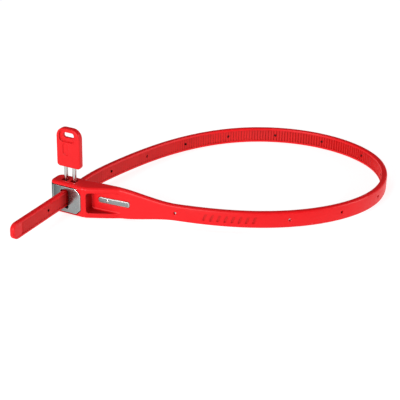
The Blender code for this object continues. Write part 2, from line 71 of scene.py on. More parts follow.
HEAD_LOW, HEAD_HIGH = box_mm("head_jacket")
FACE_LOW, FACE_HIGH = box_mm("steel_face")
CASE_LOW, CASE_HIGH = box_mm("lock_case")
TAIL_LOW, TAIL_HIGH = box_mm("strap_tail")
BOW_LOW, BOW_HIGH = box_mm("key_bow")
PINS = [box_mm(f"key_pin_{side}") for side in ("left", "right")]
PIN_CENTRES = [(low + high) / 2 for low, high in PINS]
PIN_RADIUS = (PINS[0][1].x - PINS[0][0].x) / 2

# Strap
STRAP_WIDTH = TAIL_HIGH.z - TAIL_LOW.z
STRAP_THICKNESS = TAIL_HIGH.x - TAIL_LOW.x
STRAP_Z = (TAIL_LOW.z + TAIL_HIGH.z) / 2
HALF = STRAP_THICKNESS / 2
OUTER_RADIUS = 0.9
INNER_RADIUS = 0.5
RAIL_WIDTH = 1.1
RAIL_CHAMFER = 0.1
CHANNEL_FACES = (9, 10, 11, 12, 13)     # the section's edges that make the toothed channel
TOOTH_PITCH = 1.4
TOOTH_ROOT = 0.55               # depths under the rails
TOOTH_CREST = 0.12
TOOTH_FORM = (                  # share of a pitch, depth
    (0, TOOTH_ROOT), (0.15, TOOTH_CREST), (0.35, TOOTH_CREST), (0.85, TOOTH_ROOT),
)
CORE_WIDTH, CORE_THICKNESS = 3.0, 0.5
CORE_START, CORE_END = 9.0, 3.6     # from the slot, and short of the tip
HOLE_RADIUS = 0.62
HOLE_MOUTH = 0.85               # the radius of its flared mouth
HOLE_FLARE = 0.22               # the mouth's depth
HOLE_OVERCUT = 0.1              # past the core's outer face, and short of its inner one
HOLE_FIRST, HOLE_SPACING, HOLE_COUNT = 49.3, 24.55, 15
MARKED_HOLE = 1                 # the hole left out under the row of marks
MARK_START, MARK_PITCH, MARK_COUNT = 62.4, 3.0, 8
MARK_SIZE = (1.1, 3.2)
MARK_CORNER = 0.5
MARK_LEAN = 0.35
MARK_DEPTH = 0.35
TAIL_START = 10.6
ROUTE = [
    (0, 0), (35.9, 2.9), (71.6, 11.5), (102.6, 31.8), (118.6, 65.9), (106.3, 99.8),
    (71.8, 113.2), (36.8, 101.1), (14.5, 71.8), (3.4, 36.7), (0, TAIL_START),
]
TEETH_START = 58.0
NECK_CUT = 54.0                 # the moulded neck ends and the swept strap begins
FRONT_END = 92.0                # the part of the strap that stays with the head
TIP_PLAIN = 6.0
TIP = [                         # distance from the end, how far the edges are drawn in, share of thickness
    (4.6, 0, 1), (3.2, 0, 1), (2.5, 0.1, 1), (1.7, 0.36, 1),
    (1.05, 0.76, 0.97), (0.5, 1.28, 0.88), (0.17, 1.85, 0.72), (0.0, 2.35, 0.5),
]

# Head
HEAD_RIGHT = 10.5
HEAD_BACK = 2.0
HEAD_TOP = HEAD_HIGH.z
TOP_ROUND, BOTTOM_ROUND = 1.3, 0.6
END_RADIUS = 3.0
HIDDEN_RADIUS = 1.7             # at the right corners, inside the neck
WALL = 2.5                      # the gussets over and under the pocket
GUSSET_END = 24.0
POCKET_FRONT = 9.5              # the pocket's cutter reaches this far out of the centre line
POCKET_CORNERS = (0.6, 0.1, 0.1, 0.6)
POCKET_ROUNDING = ((0, 1.0), (0.15, 0.6), (0.45, 0.25), (0.9, 0))   # from the end wall, drawn in there
NECK_FULL, NECK_END = 21.0, 50.0
HEAD_VOXEL = 0.2
SHEET = 0.8
COVER = 0.8
ROOM = 0.15                     # round the lock in its recess
PLATE_CHAMFER = 2.4
BRIGHT_FROM = -5.6              # right of here the sheet's cut edges get a painted highlight
SHEET_FADE = (-6.2, 2.8)        # from right to left the sheet's steel darkens between these, as a painted darker reflection
FACE_SLOT = (-1.8, 2.15, 2.6, 11.4)     # left, right, bottom, top
FACE_SLOT_CORNER = 0.7
BACK_SLOT = (-1.8, 1.8, 3.1, 11.3)
KEYHOLE_ROOM = (0.45, 0.35, 1.0)        # beside, behind and in front of a pin
KEYHOLE_CORNER = 0.3
PILL = (13.7, 28.6)             # the long anchor plate's ends along the strap
PILL_HEIGHT = 2.6
PILL_Z = 7.5
PILL_CORNER = 0.85
WELD_AT = 4.4                   # from the pill's round end
WELD_DOME = ((0.0, 0.75), (0.08, 0.72), (0.16, 0.6), (0.22, 0.38), (0.245, 0.1))    # height, radius

# Key
BOW_CORNERS = (1.5, 1.5, 4.2, 4.2)      # bottom left, bottom right, top right, top left
BOW_EDGE = 0.55
KEY_VOXEL = 0.13
RING_SLOT = (5.2, 2.2)
RING_SLOT_CORNERS = (0.8, 0.8, 1.0, 1.0)
RING_SLOT_DROP = 3.25           # from the grip's top to the slot's middle
DISH = (-4.3, 3.4, -3.1, 1.9)   # left, right, bottom and top, from the slot's middle
DISH_CORNERS = (1.6, 1.8, 1.8, 1.8)
DISH_DEPTH = 0.75
DIMPLE = (-2.6, 0.4, 2.2)       # left, right and top, from the grip's middle
DIMPLE_CORNER = 1.45
DIMPLE_DEPTH = 0.4

# Springs: coil radius, wire radius, turns
PAWL_SPRING = (0.55, 0.12, 4)
RETURN_SPRING = (0.75, 0.15, 5)

# Places in a moulding's list of materials, which its cutters' faces bring with them
SOFT_SHADE_PLACE, SHADED_PLACE = 1, 2

# Picture
CAMERA_AT = (243.35, -362.66, 211.25)
CAMERA_LOOKS_AT = (52.38, 21.40, 7.2)
CAMERA_ROLL = 1.575
CAMERA_LENS = 97.2
FLOOR_RADIUS = 4000
FLOOR_GAP = 0.02
FLOOR_WHITE, FLOOR_SHADE = (0.40, 0.40, 0.40), (0.38, 0.38, 0.38)
FLOOR_GLOW = 0.78
LIGHTS = {                      # place and size in metres, watts
    "key_light": ((-0.06, -1.0, 0.30), (0.45, 0.4), 12.4),
    "top_light": ((-0.25, -0.15, 0.95), (0.5, 0.5), 2.1),
    "right_light": ((1.1, 0.42, 0.40), (0.4, 0.4), 9.5),
}
LIGHTS_AIM = (0.05, 0.04, 0.01)
WORLD_LIGHT = 0.14


# ---------------------------------------------------------------- materials

def new_material(name, colour, roughness, metallic=0.0):
    material = bpy.data.materials.new(name)
    material.use_nodes = True
    tree = material.node_tree
    shader = tree.nodes["Principled BSDF"]
    shader.inputs["Base Color"].default_value = (*colour, 1)
    shader.inputs["Roughness"].default_value = roughness
    shader.inputs["Metallic"].default_value = metallic
    return material, tree, shader


def noise(tree, scale, detail=3.0, stretch=None):
    """A noise in the object's own coordinates, stretched along an axis where the material has a grain."""
    place = tree.nodes.new("ShaderNodeTexCoord")
    texture = tree.nodes.new("ShaderNodeTexNoise")
    texture.inputs["Scale"].default_value = scale
    texture.inputs["Detail"].default_value = detail
    source = place.outputs["Object"]
    if stretch:
        mapping = tree.nodes.new("ShaderNodeMapping")
        mapping.inputs["Scale"].default_value = stretch
        tree.links.new(source, mapping.inputs["Vector"])
        source = mapping.outputs["Vector"]
    tree.links.new(source, texture.inputs["Vector"])
    return texture.outputs["Fac"]


def spread(tree, value, low, high, start=0.3, end=0.7):
    """Map a value onto another range. A noise keeps mostly between 0.3 and 0.7."""
    ramp = tree.nodes.new("ShaderNodeMapRange")
    ramp.inputs["From Min"].default_value = start
    ramp.inputs["From Max"].default_value = end
    ramp.inputs["To Min"].default_value = low
    ramp.inputs["To Max"].default_value = high
    tree.links.new(value, ramp.inputs["Value"])
    return ramp.outputs["Result"]


def vary_colour(tree, shader, value, first, second):
    mix = tree.nodes.new("ShaderNodeMix")
    mix.data_type = "RGBA"
    mix.inputs["A"].default_value = (*first, 1)
    mix.inputs["B"].default_value = (*second, 1)
    tree.links.new(value, mix.inputs["Factor"])
    tree.links.new(mix.outputs["Result"], shader.inputs["Base Color"])


def bump(tree, shader, value, strength, distance):
    node = tree.nodes.new("ShaderNodeBump")
    node.inputs["Strength"].default_value = strength
    node.inputs["Distance"].default_value = distance
    tree.links.new(value, node.inputs["Height"])
    tree.links.new(node.outputs["Normal"], shader.inputs["Normal"])


def moulded_plastic(name, colour, shade, roughness, grain, depth, shine=0.22):
    """Satin moulded nylon: faint flow marks in the colour, and a fine spark-eroded grain."""
    material, tree, shader = new_material(name, colour, roughness)
    vary_colour(tree, shader, spread(tree, noise(tree, 90, 5), 0, 1), colour, shade)
    tree.links.new(
        spread(tree, noise(tree, 700, 4), roughness - 0.05, roughness + 0.07), shader.inputs["Roughness"]
    )
    bump(tree, shader, noise(tree, grain, 6), 0.35, depth)
    shader.inputs["Specular IOR Level"].default_value = shine
    return material


def steel(name, colour, shade, roughness, grain, stretch=None, depth=4e-6):
    """Bare steel with fine polishing or grinding marks."""
    material, tree, shader = new_material(name, colour, roughness, 1.0)
    vary_colour(tree, shader, spread(tree, noise(tree, 120, 4), 0, 1), colour, shade)
    marks = noise(tree, grain, 8, stretch)
    tree.links.new(spread(tree, marks, roughness * 0.75, roughness * 1.4), shader.inputs["Roughness"])
    bump(tree, shader, marks, 0.25, depth)
    return material


def fade_left(material, dark, span):
    """Darken a steel towards its left end: a painted darker reflection there."""
    tree = material.node_tree
    shader = tree.nodes["Principled BSDF"]
    place = tree.nodes.new("ShaderNodeTexCoord")
    split = tree.nodes.new("ShaderNodeSeparateXYZ")
    tree.links.new(place.outputs["Object"], split.inputs["Vector"])
    lit = spread(tree, split.outputs["X"], 0, 1, span[0] * MM, span[1] * MM)
    mix = tree.nodes.new("ShaderNodeMix")
    mix.data_type = "RGBA"
    mix.inputs["A"].default_value = (*dark, 1)
    tree.links.new(shader.inputs["Base Color"].links[0].from_socket, mix.inputs["B"])
    tree.links.new(lit, mix.inputs["Factor"])
    tree.links.new(mix.outputs["Result"], shader.inputs["Base Color"])


RED = moulded_plastic("red_nylon", (0.62, 0.003, 0.0055), (0.59, 0.002, 0.0045), 0.44, 3800, 1.6e-5)
# A darker red for the strap's toothed channel and its marks: painted shade in their hollows
SOFT_SHADE = moulded_plastic(
    "red_nylon_soft_shade", (0.54, 0.003, 0.003), (0.47, 0.002, 0.002), 0.50, 3800, 2.4e-5, shine=0.26
)
# A deeper painted shade: the pocket's end wall and gussets, and the teeth's roots
MID_SHADE = moulded_plastic("red_nylon_mid_shade", (0.36, 0.002, 0.003), (0.33, 0.001, 0.002), 0.5, 3800, 1.6e-5)
# Near-black red, painted as shade in the holes on the loop's inner side
SHADED = moulded_plastic("red_nylon_deep_shade", (0.10, 0.002, 0.003), (0.08, 0.002, 0.002), 0.6, 3800, 1.6e-5)
KEY_RED = moulded_plastic("key_plastic", (0.59, 0.004, 0.006), (0.56, 0.003, 0.005), 0.38, 3000, 1.2e-5)
# Steel darker than bare steel: its grey is a painted reflection of darker surroundings
POLISHED = steel("polished_steel", (0.27, 0.30, 0.30), (0.22, 0.25, 0.25), 0.28, 900, (1, 1, 8))
SHEET_STEEL = steel("polished_sheet", (0.33, 0.36, 0.36), (0.28, 0.31, 0.31), 0.24, 900, (1, 1, 8))
# Painted darker reflection on the sheet's wrapped left end
fade_left(SHEET_STEEL, (0.08, 0.095, 0.095), SHEET_FADE)
PIN_STEEL = steel("pin_steel", (0.62, 0.62, 0.60), (0.52, 0.52, 0.51), 0.16, 1600, (1, 1, 0.08))
# A lighter steel for the pill's bevels: a painted highlight round its rim
PILL_RIM_HIGHLIGHT = steel("pill_rim_highlight", (0.62, 0.58, 0.57), (0.55, 0.51, 0.50), 0.5, 1600)
# The lock's steel inside the head, painted darker than bare steel as shade in the case
LOCK_SHADE_STEEL = steel("hard_steel", (0.13, 0.13, 0.135), (0.10, 0.10, 0.105), 0.40, 1500, (6, 1, 1), 8e-6)
# Near-black steel, painted as shade on the sides of the sheet's slot
SLOT_SHADE = steel("slot_shade_steel", (0.020, 0.018, 0.018), (0.012, 0.010, 0.010), 0.6, 1500, (6, 1, 1), 8e-6)
SPRING = steel("spring_steel", (0.66, 0.66, 0.66), (0.55, 0.55, 0.56), 0.24, 2200, (1, 1, 6))


# ---------------------------------------------------------------- mesh helpers

def mesh_object(name, bm, material=None, sharp=32):
    """Turn a bmesh in millimetres into an object in metres."""
    bmesh.ops.recalc_face_normals(bm, faces=bm.faces)
    bmesh.ops.scale(bm, vec=(MM, MM, MM), verts=bm.verts)
    mesh = bpy.data.meshes.new(name)
    bm.to_mesh(mesh)
    bm.free()
    if material:
        mesh.materials.append(material)
    mesh.shade_smooth()
    mesh.set_sharp_from_angle(angle=math.radians(sharp))
    obj = bpy.data.objects.new(name, mesh)
    bpy.context.scene.collection.objects.link(obj)
    return obj


def add_loft(bm, rings):
    loops = [[bm.verts.new(point) for point in ring] for ring in rings]
    for near, far in zip(loops, loops[1:]):
        for i in range(len(near)):
            j = (i + 1) % len(near)
            bm.faces.new((near[i], near[j], far[j], far[i]))
    bm.faces.new(loops[0])
    bm.faces.new(loops[-1])


def loft(name, rings, material=None, sharp=32):
    bm = bmesh.new()
    add_loft(bm, rings)
    return mesh_object(name, bm, material, sharp)


def add_prism(bm, outline, low, high, axis="Z"):
    """An outline pushed along an axis: its pairs are x and y along Z, or x and z along Y."""
    at = {"Z": lambda a, b, h: (a, b, h), "Y": lambda a, b, h: (a, h, b)}[axis]
    add_loft(bm, [[at(a, b, h) for a, b in outline] for h in (low, high)])


def prism(name, outline, low, high, axis="Z"):
    bm = bmesh.new()
    add_prism(bm, outline, low, high, axis)
    return mesh_object(name, bm)


def block(name, low, high):
    outline = [(low[0], low[1]), (high[0], low[1]), (high[0], high[1]), (low[0], high[1])]
    return prism(name, outline, low[2], high[2])


def arc(middle, radius, start, end, steps=12):
    angles = np.radians(np.linspace(start, end, steps + 1))
    return [(middle[0] + radius * math.cos(a), middle[1] + radius * math.sin(a)) for a in angles]


def rounded_outline(low, high, radii, steps=8):
    """A rectangle with its own radius at each corner, from the bottom left one anticlockwise."""
    centres = [
        (low[0] + radii[0], low[1] + radii[0]), (high[0] - radii[1], low[1] + radii[1]),
        (high[0] - radii[2], high[1] - radii[2]), (low[0] + radii[3], high[1] - radii[3]),
    ]
    outline = []
    for quarter, (middle, radius) in enumerate(zip(centres, radii)):
        outline += arc(middle, radius, 180 + 90 * quarter, 270 + 90 * quarter, steps)
    return outline


def combine(obj, tool, operation="DIFFERENCE", solver="EXACT"):
    modifier = obj.modifiers.new(tool.name, "BOOLEAN")
    modifier.object = tool
    modifier.operation = operation
    modifier.solver = solver


def settle(obj, *tools):
    """Keep the object's evaluated mesh and drop its modifiers and tools."""
    bpy.context.view_layer.update()
    evaluated = obj.evaluated_get(bpy.context.evaluated_depsgraph_get())
    mesh = bpy.data.meshes.new_from_object(evaluated)
    obj.modifiers.clear()
    obj.data = mesh
    for tool in tools:
        bpy.data.objects.remove(tool, do_unlink=True)
    return obj


def cut(obj, *tools, solver="EXACT"):
    for tool in tools:
        combine(obj, tool, "DIFFERENCE", solver)
    return settle(obj, *tools)


def soften(obj, voxel, rounds):
    """Round every edge of a moulding as its tool would: one fine skin, relaxed a few times."""
    remesh = obj.modifiers.new("skin", "REMESH")
    remesh.mode = "VOXEL"
    remesh.voxel_size = voxel * MM
    smooth = obj.modifiers.new("relax", "SMOOTH")
    smooth.factor = 0.5
    smooth.iterations = rounds
    settle(obj)
    obj.data.shade_smooth()


def bevel(obj, width, segments=3, angle=40):
    modifier = obj.modifiers.new("bevel", "BEVEL")
    modifier.width = width * MM
    modifier.segments = segments
    modifier.limit_method = "ANGLE"
    modifier.angle_limit = math.radians(angle)
    settle(obj)
    obj.data.shade_smooth()
    obj.data.set_sharp_from_angle(angle=math.radians(38))


def brighten_edges(obj, material, left=-math.inf):
    """Give the bevels of a stamped sheet a brighter steel than its faces, which look along Y: a painted
    highlight.
    """
    obj.data.materials.append(material)
    last = len(obj.data.materials) - 1
    for polygon in obj.data.polygons:
        if 0.2 < abs(polygon.normal.y) < 0.97 and polygon.center.x > left * MM:
            polygon.material_index = last


def give(obj, *materials):
    obj.data.materials.clear()
    for material in materials:
        obj.data.materials.append(material)


# ---------------------------------------------------------------- the strap's centre line

def spline_slopes(knots, values, first, last):
    """Slopes at the knots of the smooth cubic curve with a given slope at each end."""
    count = len(knots)
    step = np.diff(knots)
    system = np.eye(count)
    right = np.zeros(count)
    right[0], right[-1] = first, last
    for i in range(1, count - 1):
        system[i, i - 1:i + 2] = [step[i], 2 * (step[i - 1] + step[i]), step[i - 1]]
        rise = np.diff(values[i - 1:i + 2]) / step[i - 1:i + 1]
        right[i] = 3 * (step[i] * rise[0] + step[i - 1] * rise[1])
    return np.linalg.solve(system, right)


def loop_line(fine=0.25):
    """Finely spaced points and their distances along the loop, which leaves along +X and ends along -Y."""
    points = np.array(ROUTE, float)
    knots = np.r_[0, np.cumsum(np.hypot(*np.diff(points, axis=0).T))]
    ends = ((1, 0), (0, -1))
    slopes = np.array([spline_slopes(knots, points[:, k], ends[0][k], ends[1][k]) for k in (0, 1)]).T
    at = np.linspace(0, knots[-1], int(knots[-1] / fine))
    span = np.clip(np.searchsorted(knots, at, side="right") - 1, 0, len(knots) - 2)
    width = np.diff(knots)[span][:, None]
    u = ((at - knots[span])[:, None]) / width
    line = (
        (1 + 2 * u) * (1 - u) ** 2 * points[span] + u * (1 - u) ** 2 * width * slopes[span]
        + u ** 2 * (3 - 2 * u) * points[span + 1] + u ** 2 * (u - 1) * width * slopes[span + 1]
    )
    along = np.r_[0, np.cumsum(np.hypot(*np.diff(line, axis=0).T))]
    return line, along


LINE, ALONG = loop_line()
LOOP_LENGTH = ALONG[-1]
STRAP_END = LOOP_LENGTH + TAIL_START - TAIL_LOW.y


def centre(s):
    """Place and direction of the centre line at a distance along it. The tail runs on straight."""
    if s >= LOOP_LENGTH:
        return Vector((0, TAIL_START - (s - LOOP_LENGTH))), Vector((0, -1))
    x, y = (np.interp(s, ALONG, LINE[:, k]) for k in (0, 1))
    ahead = [np.interp(min(s + 0.5, LOOP_LENGTH), ALONG, LINE[:, k]) for k in (0, 1)]
    behind = [np.interp(max(s - 0.5, 0), ALONG, LINE[:, k]) for k in (0, 1)]
    return Vector((x, y)), Vector(np.subtract(ahead, behind)).normalized()


def strap_point(s, offset, height):
    """A point at a distance along the strap, an offset outwards from the loop and a height."""
    place, along = centre(s)
    flat = place + Vector((along.y, -along.x)) * offset
    return Vector((flat.x, flat.y, STRAP_Z + height))


def ring_at(s, section):
    return [strap_point(s, offset, height) for offset, height in section]


def stations(start, end, longest):
    return np.linspace(start, end, max(2, math.ceil((end - start) / longest) + 1))


# ---------------------------------------------------------------- strap pieces

def strap_section(channel, half_width=STRAP_WIDTH / 2):
    """Half of the outline is drawn, from the outer face over the edge to the channel, and then mirrored."""
    rail = half_width - RAIL_WIDTH
    upper = arc((HALF - OUTER_RADIUS, half_width - OUTER_RADIUS), OUTER_RADIUS, 0, 90, 4)
    upper += arc((INNER_RADIUS - HALF, half_width - INNER_RADIUS), INNER_RADIUS, 90, 180, 3)
    upper += [(-HALF, rail + RAIL_CHAMFER), (RAIL_CHAMFER - HALF, rail), (channel - HALF, rail)]
    return upper + [(offset, -height) for offset, height in reversed(upper)]


def tooth_profile(start, end):
    """Distances along the strap and the channel's depth there, tooth by tooth."""
    phase = (LOOP_LENGTH + TAIL_START % TOOTH_PITCH) % TOOTH_PITCH
    first = math.ceil((start - phase) / TOOTH_PITCH)
    profile = []
    s = phase + first * TOOTH_PITCH
    while s + TOOTH_PITCH < end:
        profile += [(s + share * TOOTH_PITCH, depth) for share, depth in TOOTH_FORM]
        s += TOOTH_PITCH
    return profile


def toothed_strap(name, start, end, teeth_start, teeth_end, tip=()):
    """A stretch of strap, toothed between two places. Its channel is painted a darker red as shade, and the
    teeth's roots, the channel's darkest faces, darker still.
    """
    profile = [(start, TOOTH_CREST)]
    if teeth_start > start:
        profile = [(s, TOOTH_CREST) for s in stations(start, teeth_start - 0.4, 2.0)]
    profile += tooth_profile(max(start, teeth_start) + 0.05, min(end, teeth_end))
    if not tip:
        profile.append((end, profile[-1][1]))
    rings = [ring_at(s, strap_section(depth)) for s, depth in profile]
    for back, drawn_in, thin in tip:
        section = strap_section(TOOTH_CREST, STRAP_WIDTH / 2 - drawn_in)
        rings.append(ring_at(STRAP_END - back, [(offset * thin, height) for offset, height in section]))
    strap = loft(name, rings)
    give(strap, RED, SOFT_SHADE, SHADED, MID_SHADE)
    sides = len(rings[0])
    toothed = (len(profile) - 1) * sides
    index = np.zeros(len(strap.data.polygons), int)
    # The channel's faces are painted the soft shade
    for face in CHANNEL_FACES:
        index[face:toothed:sides] = SOFT_SHADE_PLACE
    # The teeth's roots are painted the deeper shade
    mid_shade_place = strap.data.materials.find(MID_SHADE.name)
    for ring, (here, ahead) in enumerate(zip(profile, profile[1:])):
        if here[1] == ahead[1] == TOOTH_ROOT:
            index[[ring * sides + face for face in CHANNEL_FACES]] = mid_shade_place
    strap.data.polygons.foreach_set("material_index", index)
    return strap


def circle(middle, axis, radius, sides=20):
    turn = axis.to_track_quat("Z", "Y")
    spin = [2 * math.pi * i / sides for i in range(sides)]
    return [middle + turn @ Vector((radius * math.cos(a), radius * math.sin(a), 0)) for a in spin]


def hole_cutters(name, start, end):
    """Every small hole's cutter in one object: a flared mouth and a straight bore.

    The bores reach the core from outside the loop and stop just over it inside, where they are painted
    near-black as shade.
    """
    bm = bmesh.new()
    for i in range(HOLE_COUNT):
        s = HOLE_FIRST + HOLE_SPACING * i
        if i == MARKED_HOLE or not start + 1.5 < s < end - 1.5:
            continue
        for side in (-1, 1):
            face = strap_point(s, side * HALF, 0)
            out = (face - strap_point(s, 0, 0)).normalized()
            bore = HALF - CORE_THICKNESS / 2 + HOLE_OVERCUT * side
            profile = ((0.6, HOLE_MOUTH), (0.0, HOLE_MOUTH), (-HOLE_FLARE, HOLE_RADIUS), (-bore, HOLE_RADIUS))
            before = len(bm.faces)
            add_loft(bm, [circle(face + out * lift, out, radius) for lift, radius in profile])
            bm.faces.ensure_lookup_table()
            # Inner bores are painted the near-black shade
            for hole_face in bm.faces[before:]:
                hole_face.material_index = SHADED_PLACE if side < 0 else 0
    return mesh_object(name, bm)


def mark_cutters():
    """A plain row of shallow, round-cornered marks along the front of the strap."""
    bm = bmesh.new()
    half = (MARK_SIZE[0] / 2, MARK_SIZE[1] / 2)
    outline = rounded_outline((-half[0], -half[1]), half, (MARK_CORNER,) * 4, 4)
    for i in range(MARK_COUNT):
        s = MARK_START + MARK_PITCH * i
        rings = []
        for offset in (HALF - MARK_DEPTH, HALF + 0.5):
            rings.append([strap_point(s + a + MARK_LEAN * b, offset, b) for a, b in outline])
        add_loft(bm, rings)
    # The marks are painted the soft shade
    for face in bm.faces:
        face.material_index = SOFT_SHADE_PLACE
    return mesh_object("marks", bm)


def build_strap():
    front = toothed_strap("front_strap", NECK_CUT, FRONT_END, TEETH_START, FRONT_END)
    cut(front, hole_cutters("front_holes", NECK_CUT, FRONT_END), mark_cutters())
    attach(front, "lock_body")
    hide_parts("strap_front")

    loop = toothed_strap("loop_strap", FRONT_END, LOOP_LENGTH, FRONT_END, LOOP_LENGTH)
    cut(loop, hole_cutters("loop_holes", FRONT_END, LOOP_LENGTH), solver="MANIFOLD")
    bend_with_loop(loop)
    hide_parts("strap_bend", "strap_back")

    tail = toothed_strap("tail_strap", LOOP_LENGTH, STRAP_END, LOOP_LENGTH, STRAP_END - TIP_PLAIN, TIP)
    cut(tail, hole_cutters("tail_holes", LOOP_LENGTH, STRAP_END), solver="MANIFOLD")
    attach(tail, "strap_end")
    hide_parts("strap_tail")

    for piece in (front, loop, tail):
        piece.data.shade_smooth()
        piece.data.set_sharp_from_angle(angle=math.radians(32))


def bend_with_loop(piece):
    """Bake the piece's placement into its mesh."""
    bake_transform(piece)


def build_core():
    """The steel strip inside the strap, seen at the bottom of the holes."""
    half = (CORE_THICKNESS / 2, CORE_WIDTH / 2)
    section = [(half[0], -half[1]), (half[0], half[1]), (-half[0], half[1]), (-half[0], -half[1])]
    spans = {
        "core_strip_front": (CORE_START, FRONT_END, "core_front"),
        "core_strip_loop": (FRONT_END, LOOP_LENGTH, "core_bend"),
        "core_strip_tail": (LOOP_LENGTH, STRAP_END - CORE_END, "core_tail"),
    }
    for name, (start, end, node) in spans.items():
        strip = loft(name, [ring_at(s, section) for s in stations(start, end, 1.5)], SPRING)
        if name == "core_strip_loop":
            bend_with_loop(strip)
        else:
            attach(strip, "lock_body" if name == "core_strip_front" else "strap_end")
        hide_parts(node)


# ---------------------------------------------------------------- head

def ease(u):
    u = min(max(u, 0.0), 1.0)
    return u * u * (3 - 2 * u)


def neck_section(s):
    """As tall as the head at first, then drawn in to the strap's own section."""
    taper = ease((s - NECK_FULL) / (NECK_END - NECK_FULL))
    half_width = HEAD_TOP / 2 + (STRAP_WIDTH / 2 - HEAD_TOP / 2) * taper
    rise = min(max((GUSSET_END - s) / (GUSSET_END - HEAD_RIGHT), 0.0), 1.0)
    front = HALF + (-HEAD_LOW.y - HALF) * rise
    back = HEAD_BACK + (HALF - HEAD_BACK) * ease((s - HEAD_RIGHT) / (NECK_END - HEAD_RIGHT))
    section = []
    for way, full in ((1, TOP_ROUND), (-1, BOTTOM_ROUND)):
        near, far = (radius + (full - radius) * (1 - taper) for radius in (OUTER_RADIUS, INNER_RADIUS))
        side = arc((front - near, half_width - near), near, 0, 90, 5)
        side += arc((far - back, half_width - far), far, 90, 180, 5)
        section += [(offset, way * height) for offset, height in side[::way]]
    return section


def plate_outline(room):
    """The polished face's outline, with its two right corners cut off."""
    left, right = HEAD_LOW.x - 2, FACE_HIGH.x + room
    low, high = FACE_LOW.z - room, FACE_HIGH.z + room
    return [
        (left, low), (right - PLATE_CHAMFER, low), (right, low + PLATE_CHAMFER),
        (right, high - PLATE_CHAMFER), (right - PLATE_CHAMFER, high), (left, high),
    ]


def head_shape():
    rings = []
    for floor, edge, way in ((0, BOTTOM_ROUND, 1), (HEAD_TOP, TOP_ROUND, -1)):
        rounding = []
        for angle in np.radians(np.linspace(0, 90, 7)):
            inset = edge * (1 - math.sin(angle))
            radii = [radius - inset for radius in (END_RADIUS, HIDDEN_RADIUS, HIDDEN_RADIUS, END_RADIUS)]
            low, high = (HEAD_LOW.x + inset, HEAD_LOW.y + inset), (HEAD_RIGHT - inset, HEAD_BACK - inset)
            height = floor + way * edge * (1 - math.cos(angle))
            rounding.append([(x, y, height) for x, y in rounded_outline(low, high, radii, 16)])
        rings += rounding[::way]
    head = loft("head_moulding", rings)
    neck = loft("neck", [ring_at(s, neck_section(s)) for s in stations(HEAD_RIGHT - 2, NECK_CUT + 3, 1.0)])
    combine(head, neck, "UNION")
    settle(head, neck)
    return head


def pocket_cutter():
    """The deep pocket beside the lock, between the neck's two gussets."""
    half = HEAD_TOP / 2 - WALL
    rings = []
    for ahead, drawn_in in POCKET_ROUNDING:
        outline = rounded_outline((HALF, drawn_in - half), (POCKET_FRONT, half - drawn_in), POCKET_CORNERS, 4)
        rings.append(ring_at(HEAD_RIGHT + ahead, outline))
    rings += [ring_at(s, outline) for s in stations(HEAD_RIGHT + 2, GUSSET_END + 3, 2.0)]
    return loft("pocket", rings)


def darken_pocket(head):
    """The pocket's end wall and the gussets' inner faces are painted a darker red than its floor, as shade.
    """
    half = HEAD_TOP / 2 - WALL + 0.2
    mid_shade_place = head.data.materials.find(MID_SHADE.name)
    for polygon in head.data.polygons:
        at, facing = polygon.center / MM, polygon.normal
        inside = (
            HEAD_RIGHT - 0.3 < at.x < GUSSET_END + 3
            and HEAD_LOW.y + 0.7 < at.y < -HALF
            and abs(at.z - HEAD_TOP / 2) < half
        )
        if inside and (facing.x > 0.6 or abs(facing.z) > 0.6):
            polygon.material_index = mid_shade_place


def lock_recess():
    """The room for the lock, open to the left, and shallower there to leave the head's back its rounding."""
    step = 0.5
    back = CASE_HIGH.y + COVER + ROOM
    corner = CASE_LOW.x + step
    front = HEAD_LOW.y + SHEET
    right = FACE_HIGH.x + ROOM
    outline = [
        (HEAD_LOW.x - 2, front), (right, front), (right, back),
        (corner, back), (corner, back - step), (HEAD_LOW.x - 2, back - step),
    ]
    return prism("lock_recess", outline, FACE_LOW.z - ROOM, FACE_HIGH.z + ROOM)


def keyhole_cutter(x, y):
    """A square-cornered hole, longer to the front than the pin that stands in it."""
    side, back, front = (PIN_RADIUS + room for room in KEYHOLE_ROOM)
    outline = rounded_outline((x - side, y - front), (x + side, y + back), (KEYHOLE_CORNER,) * 4, 4)
    return prism("keyhole", outline, FACE_HIGH.z - 0.5, HEAD_TOP + 1)


def pill_outline(room):
    half_length, half_height = (PILL[1] - PILL[0]) / 2 + room, PILL_HEIGHT / 2 + room
    round_end = half_height * 0.98
    corners = (round_end, PILL_CORNER, PILL_CORNER, round_end)
    return rounded_outline((-half_length, -half_height), (half_length, half_height), corners, 10)


def turn_to_neck(obj):
    """Set a shape drawn about the origin into the neck's floor."""
    place, along = centre((PILL[0] + PILL[1]) / 2)
    turn = Matrix.Rotation(math.atan2(along.y, along.x), 4, "Z")
    obj.data.transform(Matrix.Translation((place.x * MM, place.y * MM, PILL_Z * MM)) @ turn)
    return obj


def trim_neck(head):
    """End the moulding squarely where the swept strap begins."""
    place, along = centre(NECK_CUT)
    bm = bmesh.new()
    bm.from_mesh(head.data)
    everything = bm.verts[:] + bm.edges[:] + bm.faces[:]
    bmesh.ops.bisect_plane(bm, geom=everything, plane_co=(place.x * MM, place.y * MM, 0),
                           plane_no=(along.x, along.y, 0), clear_outer=True)
    bmesh.ops.holes_fill(bm, edges=[e for e in bm.edges if e.is_boundary], sides=0)
    bm.to_mesh(head.data)
    bm.free()


